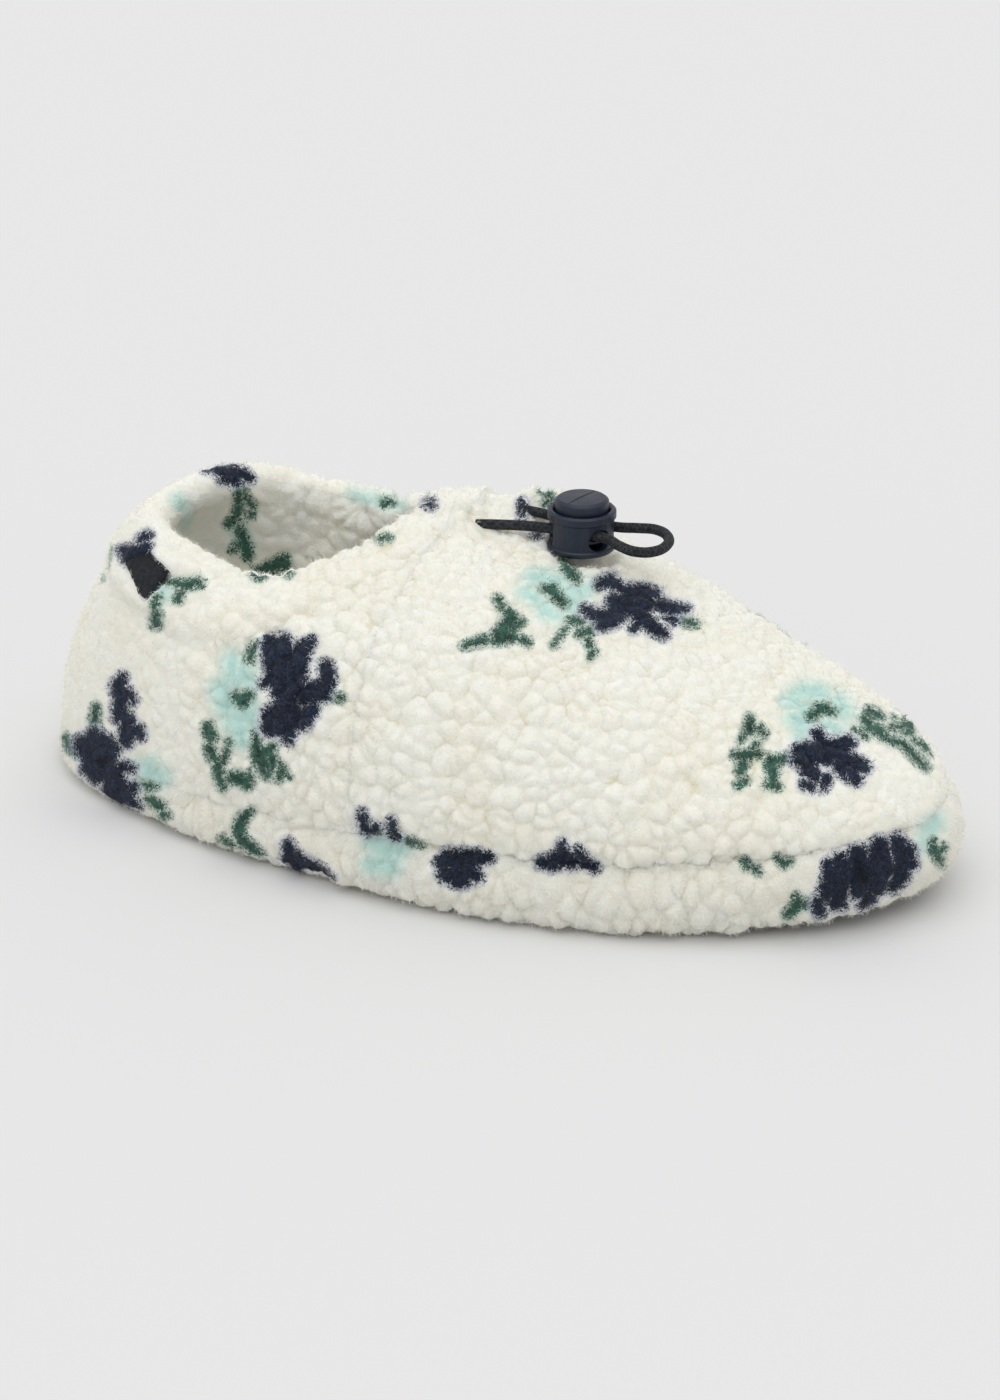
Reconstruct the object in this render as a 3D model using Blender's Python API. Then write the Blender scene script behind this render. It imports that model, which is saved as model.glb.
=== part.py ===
"""Closed-back fleece slipper for the right foot: fleece upper with a drawcord casing at the collar, fleece-banded
foam sole, grip outsole, insole, elastic drawcord with a spring cord lock, and a bare woven tab.

Metres. +X points to the toe, +Y to the inner side of the foot, +Z up, and the slipper stands on z = 0."""

import math

import bmesh
import bpy
import numpy as np
from mathutils import Matrix

# Driving sizes
LENGTH = 0.268
BALL_WIDTH = 0.107
INSTEP_HEIGHT = 0.085
WALL = 0.005
GAP = 0.0003
AROUND = 88

# Plan outline at the widest level: Y of each side, in ball widths. turn runs from the heel end (0) to the toe end (180)
OUTLINE = (
    ("turn", "lateral", "medial"),
    (0, -0.035, -0.035),
    (15, -0.145, 0.120),
    (30, -0.285, 0.255),
    (50, -0.410, 0.338),
    (70, -0.508, 0.360),
    (90, -0.563, 0.388),
    (110, -0.525, 0.450),
    (130, -0.413, 0.465),
    (150, -0.257, 0.365),
    (165, -0.098, 0.235),
    (180, 0.027, 0.027),
)

# Collar line. collar is the turn round the collar oval, lateral and medial the Y of its two sides in ball widths,
# low and high the levels of those sides in instep heights, casing the drawcord casing's width in metres
COLLAR = (
    ("turn", "collar", "lateral", "medial", "low", "high", "casing"),
    (0, 0, 0.000, 0.000, 0.905, 0.905, 0.0178),
    (40, 52, -0.268, 0.243, 0.886, 0.909, 0.0178),
    (64, 98, -0.328, 0.284, 0.810, 0.838, 0.0178),
    (90, 135, -0.202, 0.180, 0.880, 0.897, 0.0158),
    (120, 156, -0.137, 0.126, 0.945, 0.948, 0.0138),
    (150, 169, -0.068, 0.066, 0.960, 0.960, 0.0126),
    (180, 180, 0.000, 0.000, 0.970, 0.970, 0.0126),
)
COLLAR_BACK = -0.0993
COLLAR_FRONT = -0.0214
COLLAR_DRIFT = 0.0100

# How each meridian of the upper leaves the sole seam (swell outward, climb upward, in metres) and reaches the collar
# (reach outward, as a share of the way to the seam, and drop downward in metres)
MERIDIAN = (
    ("turn", "swell", "climb", "reach", "drop"),
    (0, 0.0000, 0.0200, 0.44, 0.0134),
    (40, 0.0003, 0.0200, 0.63, 0.0110),
    (64, 0.0021, 0.0196, 0.93, 0.0025),
    (90, 0.0044, 0.0165, 0.87, -0.0050),
    (120, 0.0065, 0.0117, 0.60, -0.0066),
    (150, 0.0082, 0.0087, 0.345, -0.0034),
    (180, 0.0086, 0.0087, 0.335, -0.0022),
)

# Drawcord casing: a folded band one step proud of the wall, with a sewn groove below it
CASING_STEP = 0.0022
CASING_SHARES = np.array([0.12, 0.36, 0.68, 1.0])
SEAM_DEPTH = 0.0008
BODY_ROWS = 11
RIM_ROWS = 4

# Sole: station along the length as a share of it from the heel, the levels of its underside, of the seam round its top
# edge and of the bed inside, and how far its edge tucks in under the upper
SOLE = (
    ("station", "under", "seam", "bed", "tuck"),
    (0.00, 0.0000, 0.0100, 0.0118, 0.0000),
    (0.12, 0.0000, 0.0122, 0.0120, 0.0000),
    (0.27, 0.0000, 0.0147, 0.0125, 0.0000),
    (0.40, 0.0012, 0.0172, 0.0130, 0.0002),
    (0.54, 0.0000, 0.0187, 0.0130, 0.0004),
    (0.72, 0.0000, 0.0197, 0.0135, 0.0010),
    (0.86, 0.0030, 0.0231, 0.0168, 0.0024),
    (1.00, 0.0075, 0.0274, 0.0208, 0.0034),
)
SEAM_INSET = 0.0030
OUTSOLE_THICK = 0.0030
OUTSOLE_INSET = 0.0090
BAND_RIM = 0.0008
INSOLE_THICK = 0.0040

# Cord lock: a barrel with two cord tunnels along the foot and a spring button
LOCK_PLACE = (0.0211, 0.0134, 0.0786)
LOCK_RADIUS = 0.0092
LOCK_HEIGHT = 0.0113
LOCK_FLOOR = 0.0010
BORE_RADIUS = 0.00755
FLAT_REACH = 0.0083
FLAT_TURNS = (-35, 35, 145, 215)
TUNNEL_OFFSET = 0.0043
TUNNEL_LOW = 0.0016
TUNNEL_HIGH = 0.0075
TUNNEL_WIDTH = 0.0056
BUTTON_RADIUS = 0.0072
BUTTON_LOW = 0.0032
BUTTON_TOP = 0.0145
SLOT_LOW = 0.0040
SLOT_HIGH = 0.0094
SLOT_WIDTH = 0.0035
SEGMENTS = 36

# Drawcord: turns of its two exits from the casing, and its run from one exit's side to the other's, measured from
# the middle of the lock's underside
CORD_DIAMETER = 0.0028
EXIT_TURNS = (164, 221)
EXIT_LIFT = 0.0003
EXIT_START = -0.0005
CORD_RUN = (
    ("along", "across", "level"),
    (-0.0160, -0.0055, 0.0056),
    (-0.0092, -0.0043, 0.0057),
    (0.0000, -0.0043, 0.0057),
    (0.0092, -0.0045, 0.0056),
    (0.0138, -0.0065, 0.0050),
    (0.0185, -0.0073, 0.0045),
    (0.0230, -0.0052, 0.0045),
    (0.0248, -0.0008, 0.0050),
    (0.0232, 0.0038, 0.0056),
    (0.0190, 0.0062, 0.0060),
    (0.0140, 0.0056, 0.0059),
    (0.0092, 0.0045, 0.0057),
    (0.0000, 0.0043, 0.0057),
    (-0.0092, 0.0043, 0.0057),
    (-0.0150, 0.0056, 0.0056),
)

# Woven tab: turns and shares of the casing's width that it covers
LABEL_TURNS = (36, 48)
LABEL_SHARES = (0.22, 0.84)
LABEL_THICK = 0.0008


def column(table, name):
    """One named column of a table."""
    return np.array([row[table[0].index(name)] for row in table[1:]], float)


def hermite(knots, values, at, overshoot=True):
    """Smooth curve through (knots, values), read at the given places. Without overshoot it keeps level runs level."""
    slopes = np.gradient(values, knots)
    if not overshoot:
        rise = np.diff(values) / np.diff(knots)
        both = rise[:-1] + rise[1:]
        slopes[1:-1] = np.where(rise[:-1] * rise[1:] > 0, 2 * rise[:-1] * rise[1:] / np.where(both, both, 1), 0)
    k = np.clip(np.searchsorted(knots, at, side="right") - 1, 0, len(knots) - 2)
    span = knots[k + 1] - knots[k]
    u = (at - knots[k]) / span
    return (
        values[k] * (2 * u**3 - 3 * u**2 + 1)
        + span * slopes[k] * (u**3 - 2 * u**2 + u)
        + values[k + 1] * (3 * u**2 - 2 * u**3)
        + span * slopes[k + 1] * (u**3 - u**2)
    )


def ring(table, lateral, medial, turn):
    """A table's columns run as one closed curve: the outer side from heel to toe, then the inner side back."""
    turns = column(table, "turn")
    near = column(table, lateral)
    far = column(table, medial)
    knots = np.concatenate([turns, 360 - turns[-2::-1]])
    values = np.concatenate([near, far[-2::-1]])
    knots = np.concatenate([knots[-4:-1] - 360, knots, knots[1:4] + 360])
    values = np.concatenate([values[-4:-1], values, values[1:4]])
    return hermite(knots, values, turn)


TURN = np.arange(AROUND) * 360 / AROUND


def plan(inset):
    """Plan outline moved inward by inset: x, y and the outward direction."""
    a = np.radians(TURN)
    x = -np.cos(a) * LENGTH / 2
    y = ring(OUTLINE, "lateral", "medial", TURN) * BALL_WIDTH
    dx = np.roll(x, -1) - np.roll(x, 1)
    dy = np.roll(y, -1) - np.roll(y, 1)
    size = np.hypot(dx, dy)
    out = np.stack([dy / size, -dx / size], 1)
    return x - out[:, 0] * inset, y - out[:, 1] * inset, out


def level(name, x):
    """Underside or top level of the sole at x."""
    station = np.clip(x / LENGTH + 0.5, 0, 1)
    return hermite(column(SOLE, "station"), column(SOLE, name), station, overshoot=False)


def loop(x, y, z):
    return np.stack([x, y, np.broadcast_to(z, x.shape)], 1)


def collar_line():
    """The collar's mean line."""
    a = np.radians(hermite(column(COLLAR, "turn"), column(COLLAR, "collar"), np.minimum(TURN, 360 - TURN)))
    x = (COLLAR_BACK + COLLAR_FRONT) / 2 - np.cos(a) * (COLLAR_FRONT - COLLAR_BACK) / 2
    middle = COLLAR_DRIFT * (x - COLLAR_BACK) / (COLLAR_FRONT - COLLAR_BACK)
    y = middle + ring(COLLAR, "lateral", "medial", TURN) * BALL_WIDTH
    return loop(x, y, ring(COLLAR, "low", "high", TURN) * INSTEP_HEIGHT)


def meridians():
    """Outer surface of the wall as rows of rings from the sole seam to the collar, without its casing step."""
    _, _, out = plan(SEAM_INSET)
    seam = sole_ring(SEAM_INSET, "seam", GAP)
    collar = collar_line()
    turns = column(MERIDIAN, "turn")
    at = np.minimum(TURN, 360 - TURN)
    swell, climb, reach, drop = (hermite(turns, column(MERIDIAN, n), at) for n in MERIDIAN[0][1:])
    ray = seam[:, :2] - collar[:, :2]
    low = seam + np.stack([out[:, 0] * swell, out[:, 1] * swell, climb], 1)
    high = collar + np.stack([ray[:, 0] * reach, ray[:, 1] * reach, -drop], 1)
    u = np.linspace(0, 1, 121)[:, None, None]
    curve = seam * (1 - u) ** 3 + 3 * low * u * (1 - u) ** 2 + 3 * high * u**2 * (1 - u) + collar * u**3
    run = np.concatenate([np.zeros((1, AROUND)), np.cumsum(np.linalg.norm(np.diff(curve, axis=0), axis=2), 0)])
    casing = hermite(column(COLLAR, "turn"), column(COLLAR, "casing"), at)
    rows = []
    for k in range(AROUND):
        fold = run[-1, k] - casing[k]
        marks = np.concatenate([np.linspace(0, fold, BODY_ROWS), fold + casing[k] * CASING_SHARES])
        rows.append(np.stack([np.interp(marks, run[:, k], curve[:, k, c]) for c in range(3)], 1))
    return np.stack(rows, 1)


def outward(rows):
    """Unit normals of a grid of rings."""
    along = np.gradient(rows, axis=0)
    around = np.roll(rows, -1, axis=1) - np.roll(rows, 1, axis=1)
    normal = np.cross(around, along)
    return normal / np.linalg.norm(normal, axis=2)[:, :, None]


def outer_side():
    """Outer side of the wall with its sewn groove and casing step, and the grid and normals it stands on."""
    base = meridians()
    normal = outward(base)
    relief = np.zeros(len(base))
    relief[BODY_ROWS - 1] = -SEAM_DEPTH
    relief[BODY_ROWS:] = CASING_STEP
    return base + normal * relief[:, None, None], base, normal


def wall_rings():
    """The upper's wall: outer side, round rim, then the inner side down again."""
    outer, base, normal = outer_side()
    inner = base - normal * WALL
    inner[0] = sole_ring(SEAM_INSET + WALL, "seam", GAP)
    inner[1] = 0.5 * inner[1] + 0.5 * (0.6 * inner[0] + 0.4 * inner[2])
    rise = base[-1] - base[-2]
    rise /= np.linalg.norm(rise, axis=1)[:, None]
    middle = 0.5 * (outer[-1] + inner[-1])
    half = 0.5 * (outer[-1] - inner[-1])
    thick = np.linalg.norm(half, axis=1)[:, None]
    rim = []
    for k in range(1, RIM_ROWS + 1):
        a = math.pi * k / (RIM_ROWS + 1)
        rim.append(middle + half * math.cos(a) + rise * thick * math.sin(a))
    return list(outer) + rim + list(inner[::-1])


def mesh_object(name, bm, colour, roughness, parent):
    bmesh.ops.recalc_face_normals(bm, faces=bm.faces)
    mesh = bpy.data.meshes.new(name)
    bm.to_mesh(mesh)
    bm.free()
    obj = bpy.data.objects.new(name, mesh)
    bpy.context.scene.collection.objects.link(obj)
    obj.parent = parent
    paint(obj, colour, roughness)
    return obj


def paint(obj, colour, roughness):
    material = bpy.data.materials.new(obj.name)
    material.use_nodes = True
    shader = material.node_tree.nodes["Principled BSDF"]
    shader.inputs["Base Color"].default_value = (*colour, 1)
    shader.inputs["Roughness"].default_value = roughness
    obj.data.materials.append(material)


def skin(bm, rings):
    """Quads between successive rings. Returns the rings' vertices."""
    rows = [[bm.verts.new(p) for p in points] for points in rings]
    for low, high in zip(rows, rows[1:]):
        for k in range(len(low)):
            n = (k + 1) % len(low)
            bm.faces.new((low[k], low[n], high[n], high[k]))
    return rows


def ladder(bm, row):
    """Closes a ring with rungs straight across the foot, from heel to toe."""
    half = len(row) // 2
    bm.faces.new((row[0], row[1], row[-1]))
    for k in range(1, half - 1):
        bm.faces.new((row[k], row[k + 1], row[-k - 1], row[-k]))
    bm.faces.new((row[half - 1], row[half], row[half + 1]))


def slab(name, rings, colour, roughness, parent):
    """A solid of stacked rings, closed below and above."""
    bm = bmesh.new()
    rows = skin(bm, rings)
    ladder(bm, rows[0])
    ladder(bm, rows[-1])
    return mesh_object(name, bm, colour, roughness, parent)


def sole_ring(inset, of, above=0.0, share=0.0):
    """A ring of the sole at one of its levels, raised by a distance or by a share of the height up to the seam."""
    x, y, out = plan(inset)
    tuck = level("tuck", x)
    x, y = x - out[:, 0] * tuck, y - out[:, 1] * tuck
    return loop(x, y, level(of, x) + above + share * (level("seam", x) - level("under", x)))


def make_upper(parent):
    bm = bmesh.new()
    rows = skin(bm, wall_rings())
    for k in range(AROUND):
        n = (k + 1) % AROUND
        bm.faces.new((rows[-1][k], rows[-1][n], rows[0][n], rows[0][k]))
    return mesh_object("upper", bm, (0.80, 0.77, 0.68), 0.9, parent)


def make_sole(parent):
    recess = OUTSOLE_INSET - GAP
    tray = SEAM_INSET + WALL + 0.0006
    band = [
        sole_ring(recess, "under", OUTSOLE_THICK + GAP),
        sole_ring(recess - 0.0008, "under", BAND_RIM + 0.0006),
        sole_ring(0.0065, "under", BAND_RIM),
        sole_ring(0.0028, "under", 0.0032),
        sole_ring(0.0008, "under", share=0.40),
        sole_ring(0.0006, "under", share=0.66),
        sole_ring(0.0022, "under", share=0.88),
        sole_ring(0.0052, "seam"),
        sole_ring(tray, "seam"),
        sole_ring(tray + 0.0006, "bed"),
    ]
    slab("midsole", band, (0.80, 0.77, 0.68), 0.9, parent)
    grip = [
        sole_ring(OUTSOLE_INSET + 0.0008, "under"),
        sole_ring(OUTSOLE_INSET, "under", 0.0008),
        sole_ring(OUTSOLE_INSET, "under", OUTSOLE_THICK),
    ]
    slab("outsole", grip, (0.16, 0.16, 0.17), 0.7, parent)
    inside = tray + 0.0006 + GAP
    footbed = [
        sole_ring(inside, "bed", GAP),
        sole_ring(inside, "bed", INSOLE_THICK - 0.0014),
        sole_ring(inside + 0.0014, "bed", INSOLE_THICK),
    ]
    slab("insole", footbed, (0.80, 0.77, 0.68), 0.9, parent)


def turned(profile):
    """A solid of revolution about z from (radius, height) points that start and end on the axis."""
    bm = bmesh.new()
    verts = [bm.verts.new((r, 0, z)) for r, z in profile]
    edges = [bm.edges.new(pair) for pair in zip(verts, verts[1:])]
    bmesh.ops.spin(
        bm, geom=verts + edges, axis=(0, 0, 1), cent=(0, 0, 0), angle=2 * math.pi, steps=SEGMENTS, use_merge=True
    )
    bmesh.ops.remove_doubles(bm, verts=bm.verts, dist=1e-6)
    return bm


def stadium(bm, across, width, low, high, reach):
    """A round-ended prism along x, for a cord tunnel."""
    r = width / 2
    ring_points = []
    for k in range(9):
        a = math.pi * k / 8
        ring_points.append((across + r * math.cos(a), high - r + r * math.sin(a)))
    for k in range(9):
        a = math.pi + math.pi * k / 8
        ring_points.append((across + r * math.cos(a), low + r + r * math.sin(a)))
    face = bm.faces.new([bm.verts.new((-reach, y, z)) for y, z in ring_points])
    made = bmesh.ops.extrude_face_region(bm, geom=[face])["geom"]
    bmesh.ops.translate(bm, verts=[v for v in made if isinstance(v, bmesh.types.BMVert)], vec=(2 * reach, 0, 0))


def cut(obj, name, bm, parent):
    """Cuts the shape in bm out of obj."""
    cutter = mesh_object(name, bm, (0.5, 0.5, 0.5), 0.5, parent)
    cutter.hide_render = True
    cutter.display_type = "WIRE"
    modifier = obj.modifiers.new(name, "BOOLEAN")
    modifier.operation = "DIFFERENCE"
    modifier.solver = "EXACT"
    modifier.object = cutter


def make_lock(parent):
    r = LOCK_RADIUS
    h = LOCK_HEIGHT
    body = mesh_object(
        "lock_body",
        turned([
            (0, 0), (r - 0.0006, 0), (r, 0.0006), (r, 0.0013), (r - 0.0004, 0.0017), (r - 0.0004, h - 0.0026),
            (r, h - 0.0022), (r, h - 0.0005), (r - 0.0005, h), (BORE_RADIUS + 0.0004, h),
            (BORE_RADIUS, h - 0.0004), (BORE_RADIUS, LOCK_FLOOR), (0, LOCK_FLOOR),
        ]),
        (0.030, 0.040, 0.070), 0.45, parent,
    )
    flats = bmesh.new()
    for turn in FLAT_TURNS:
        made = bmesh.ops.create_cube(flats, size=1)["verts"]
        bmesh.ops.scale(flats, verts=made, vec=(0.004, 0.014, h - 0.0043))
        bmesh.ops.translate(flats, verts=made, vec=(FLAT_REACH + 0.002, 0, h / 2 - 0.00045))
        spin = Matrix.Rotation(math.radians(turn), 3, "Z")
        bmesh.ops.rotate(flats, verts=made, cent=(0, 0, 0), matrix=spin)
    cut(body, "mouth_flats", flats, parent)
    tunnels = bmesh.new()
    for side in (-1, 1):
        stadium(tunnels, side * TUNNEL_OFFSET, TUNNEL_WIDTH, TUNNEL_LOW, TUNNEL_HIGH, 0.014)
    cut(body, "cord_tunnels", tunnels, parent)


def make_button(parent):
    r = BUTTON_RADIUS
    top = BUTTON_TOP
    button = mesh_object(
        "lock_button",
        turned([
            (0, BUTTON_LOW), (r - 0.0003, BUTTON_LOW), (r, BUTTON_LOW + 0.0003), (r, top - 0.0010),
            (r - 0.0002, top - 0.0007), (r - 0.0009, top - 0.0002), (0, top),
        ]),
        (0.035, 0.045, 0.078), 0.45, parent,
    )
    slots = bmesh.new()
    for side in (-1, 1):
        stadium(slots, side * TUNNEL_OFFSET, SLOT_WIDTH, SLOT_LOW, SLOT_HIGH, 0.010)
    cut(button, "cord_slots", slots, parent)
    groove = bmesh.new()
    bmesh.ops.create_cone(
        groove, cap_ends=True, segments=4, radius1=0.0006, radius2=0.0006, depth=0.020,
        matrix=Matrix.Rotation(math.pi / 2, 4, "X"),
    )
    bmesh.ops.rotate(groove, verts=groove.verts, cent=(0, 0, 0), matrix=Matrix.Rotation(math.radians(-12), 3, "Z"))
    bmesh.ops.translate(groove, verts=groove.verts, vec=(0, 0, top + 0.0002))
    cut(button, "top_groove", groove, parent)


def smooth_run(points, step):
    """Points at even steps along a smooth curve through the given ones."""
    run = np.concatenate([[0], np.cumsum(np.linalg.norm(np.diff(points, axis=0), axis=1))])
    fine = np.linspace(0, run[-1], 400)
    curve = np.stack([hermite(run, points[:, c], fine) for c in range(3)], 1)
    length = np.concatenate([[0], np.cumsum(np.linalg.norm(np.diff(curve, axis=0), axis=1))])
    marks = np.linspace(0, length[-1], round(length[-1] / step) + 1)
    return np.stack([np.interp(marks, length, curve[:, c]) for c in range(3)], 1)


def cord_exit(turn, toward):
    """Where the cord leaves the casing: its end stands just clear of the casing's edge, its side just clear of the wall."""
    outer, _, normal = outer_side()
    k = round(turn * AROUND / 360)
    point = outer[BODY_ROWS - 1, k] + normal[BODY_ROWS - 1, k] * (CORD_DIAMETER / 2 + SEAM_DEPTH + EXIT_LIFT)
    ray = toward - point
    return point + ray / np.linalg.norm(ray) * EXIT_START


def make_cord(parent):
    middle = np.stack([column(CORD_RUN, name) for name in CORD_RUN[0]], 1) + LOCK_PLACE
    first = cord_exit(EXIT_TURNS[0], middle[0])
    last = cord_exit(EXIT_TURNS[1], middle[-1])
    points = smooth_run(np.concatenate([[first], middle, [last]]), 2 * CORD_DIAMETER)
    curve = bpy.data.curves.new("drawcord", "CURVE")
    curve.dimensions = "3D"
    curve.bevel_depth = CORD_DIAMETER / 2
    curve.bevel_resolution = 2
    curve.use_fill_caps = True
    spline = curve.splines.new("POLY")
    spline.points.add(len(points) - 1)
    for point, place in zip(spline.points, points):
        point.co = (*place, 1)
    cord = bpy.data.objects.new("drawcord", curve)
    bpy.context.scene.collection.objects.link(cord)
    cord.parent = parent
    paint(cord, (0.020, 0.022, 0.025), 0.8)


def make_label(parent):
    outer, _, normal = outer_side()
    turns = np.linspace(*LABEL_TURNS, 7) * AROUND / 360
    shares = np.linspace(*LABEL_SHARES, 5)
    rows = np.interp(shares, CASING_SHARES, np.arange(BODY_ROWS, len(outer)))
    sheets = []
    for lift in (GAP, GAP + LABEL_THICK):
        grid = outer + normal * lift
        sheet = []
        for row in rows:
            i = min(int(row), len(grid) - 2)
            line = grid[i] + (grid[i + 1] - grid[i]) * (row - i)
            sheet.append([np.interp(turns, np.arange(AROUND), line[:, c]) for c in range(3)])
        sheets.append(np.array(sheet).transpose(0, 2, 1))
    bm = bmesh.new()
    low, high = ([[bm.verts.new(p) for p in line] for line in sheet] for sheet in sheets)
    for i in range(len(rows) - 1):
        for k in range(len(turns) - 1):
            bm.faces.new((low[i][k], low[i][k + 1], low[i + 1][k + 1], low[i + 1][k]))
            bm.faces.new((high[i][k], high[i + 1][k], high[i + 1][k + 1], high[i][k + 1]))
    border = [(0, k) for k in range(len(turns))]
    border += [(i, len(turns) - 1) for i in range(1, len(rows))]
    border += [(len(rows) - 1, k) for k in range(len(turns) - 2, -1, -1)]
    border += [(i, 0) for i in range(len(rows) - 2, 0, -1)]
    for (i, k), (m, n) in zip(border, border[1:] + border[:1]):
        bm.faces.new((low[i][k], low[m][n], high[m][n], high[i][k]))
    mesh_object("label_tab", bm, (0.018, 0.020, 0.026), 0.7, parent)


def clear_scene():
    for obj in list(bpy.data.objects):
        bpy.data.objects.remove(obj, do_unlink=True)


def centre(root):
    """Puts the middle of the slipper's plan on the origin."""
    spots = [v.co for name in ("upper", "midsole") for v in bpy.data.objects[name].data.vertices]
    for c in range(2):
        root.location[c] = -0.5 * (min(p[c] for p in spots) + max(p[c] for p in spots))


clear_scene()
slipper = bpy.data.objects.new("slipper", None)
lock = bpy.data.objects.new("lock", None)
for place in (slipper, lock):
    bpy.context.scene.collection.objects.link(place)
lock.parent = slipper
lock.location = LOCK_PLACE
make_upper(slipper)
make_sole(slipper)
make_lock(lock)
make_button(lock)
make_cord(slipper)
make_label(slipper)
centre(slipper)
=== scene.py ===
import math

import bmesh
import bpy
import numpy as np
from mathutils import Euler, Matrix, Vector, noise
from mathutils.bvhtree import BVHTree


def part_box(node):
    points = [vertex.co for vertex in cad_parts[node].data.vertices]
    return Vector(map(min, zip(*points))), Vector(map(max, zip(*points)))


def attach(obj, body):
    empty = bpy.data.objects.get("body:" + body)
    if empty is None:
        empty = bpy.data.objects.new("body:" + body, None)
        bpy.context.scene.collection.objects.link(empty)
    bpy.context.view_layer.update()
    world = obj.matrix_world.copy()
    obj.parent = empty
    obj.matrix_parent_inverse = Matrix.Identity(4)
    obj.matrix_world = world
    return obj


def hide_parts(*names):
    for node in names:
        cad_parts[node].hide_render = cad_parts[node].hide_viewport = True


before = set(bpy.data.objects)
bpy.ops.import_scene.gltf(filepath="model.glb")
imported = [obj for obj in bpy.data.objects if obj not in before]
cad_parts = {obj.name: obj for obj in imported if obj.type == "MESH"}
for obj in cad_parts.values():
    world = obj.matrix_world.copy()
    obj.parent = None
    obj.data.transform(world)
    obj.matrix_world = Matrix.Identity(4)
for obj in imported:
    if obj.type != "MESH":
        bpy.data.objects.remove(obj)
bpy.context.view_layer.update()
print("frame loaded")


def lin(r, g, b):  # screen colour, 0 to 255, as linear light
    return tuple(((c / 255 + 0.055) / 1.055) ** 2.4 if c > 10 else c / 255 / 12.92 for c in (r, g, b))


# camera, at the photo's angle to the slipper
shot = {
    "azimuth": 25.4,
    "elevation": 23.87,
    "distance": 0.8745,
    "aim": Vector((0.0069, 0.0017, 0.0380)),
    "lens": 83.5,
    "photo": (1000, 1400),
}
turnRound, tilt = math.radians(shot["azimuth"]), math.radians(shot["elevation"])
camBack = Vector((
    math.sin(turnRound) * math.cos(tilt),
    -math.cos(turnRound) * math.cos(tilt),
    math.sin(tilt),
))
camSpot = shot["aim"] + camBack * shot["distance"]
camTurn = camBack.to_track_quat("Z", "Y")
cam = bpy.data.objects.new("camera", bpy.data.cameras.new("camera"))
cam.data.lens = shot["lens"]
cam.data.sensor_width = 36
cam.location = camSpot
cam.rotation_mode = "QUATERNION"
cam.rotation_quaternion = camTurn
cam.data.clip_start = 0.01
bpy.context.scene.collection.objects.link(cam)
bpy.context.scene.camera = cam
print("camera set")


def photoRay(x, y):  # direction through a pixel of the photo
    wide, high = shot["photo"]
    focal = shot["lens"] / 36 * high
    return (camTurn @ Vector(((x - wide / 2) / focal, (high / 2 - y) / focal, -1))).normalized()


def newObject(name, bm):
    mesh = bpy.data.meshes.new(name)
    bm.to_mesh(mesh)
    bm.free()
    obj = bpy.data.objects.new(name, mesh)
    bpy.context.scene.collection.objects.link(obj)
    return obj


def cadCopy(node):  # merged copy of a CAD node
    bm = bmesh.new()
    bm.from_mesh(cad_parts[node].data)
    bmesh.ops.remove_doubles(bm, verts=bm.verts, dist=1e-6)
    return bm


def applyAll(obj):  # modifiers made into the mesh
    graph = bpy.context.evaluated_depsgraph_get()
    made = bpy.data.meshes.new_from_object(obj.evaluated_get(graph))
    obj.modifiers.clear()
    old = obj.data
    obj.data = made
    bpy.data.meshes.remove(old)
    made.name = obj.name


def shadeSmooth(obj):
    obj.data.polygons.foreach_set("use_smooth", np.ones(len(obj.data.polygons), bool))


# materials
def newMaterial(name):
    mat = bpy.data.materials.new(name)
    mat.use_nodes = True
    return mat, mat.node_tree.nodes, mat.node_tree.links


def newGroup(name, ins, outs):  # shader node group with named sockets
    group = bpy.data.node_groups.new(name, "ShaderNodeTree")
    for label, kind in ins:
        group.interface.new_socket(label, in_out="INPUT", socket_type=kind)
    for label, kind in outs:
        group.interface.new_socket(label, in_out="OUTPUT", socket_type=kind)
    return group, group.nodes.new("NodeGroupInput"), group.nodes.new("NodeGroupOutput")


def mixColour(tree, under, over, amount, blend="MIX"):  # sockets, or plain colours and numbers
    mix = tree.nodes.new("ShaderNodeMix")
    mix.data_type = "RGBA"
    mix.blend_type = blend
    for label, value in (("A", under), ("B", over), ("Factor", amount)):
        if isinstance(value, tuple):
            mix.inputs[label].default_value = (*value, 1)
        elif isinstance(value, (int, float)):
            mix.inputs[label].default_value = value
        else:
            tree.links.new(value, mix.inputs[label])
    return mix.outputs["Result"]


def maths(tree, kind, first, second):
    step = tree.nodes.new("ShaderNodeMath")
    step.operation = kind
    for socket, value in zip(step.inputs, (first, second)):
        if isinstance(value, (int, float)):
            socket.default_value = value
        else:
            tree.links.new(value, socket)
    return step.outputs[0]


def ramp(tree, value, low, high, top=1.0):  # smooth rise from low to high
    step = tree.nodes.new("ShaderNodeMapRange")
    step.interpolation_type = "SMOOTHSTEP"
    step.inputs["From Min"].default_value = low
    step.inputs["From Max"].default_value = high
    step.inputs["To Max"].default_value = top
    tree.links.new(value, step.inputs["Value"])
    return step.outputs["Result"]


def noiseAt(tree, place, scale, detail=2, distortion=0.0):
    grain = tree.nodes.new("ShaderNodeTexNoise")
    grain.inputs["Scale"].default_value = scale
    grain.inputs["Detail"].default_value = detail
    grain.inputs["Distortion"].default_value = distortion
    tree.links.new(place, grain.inputs["Vector"])
    return grain.outputs["Fac"]


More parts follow.
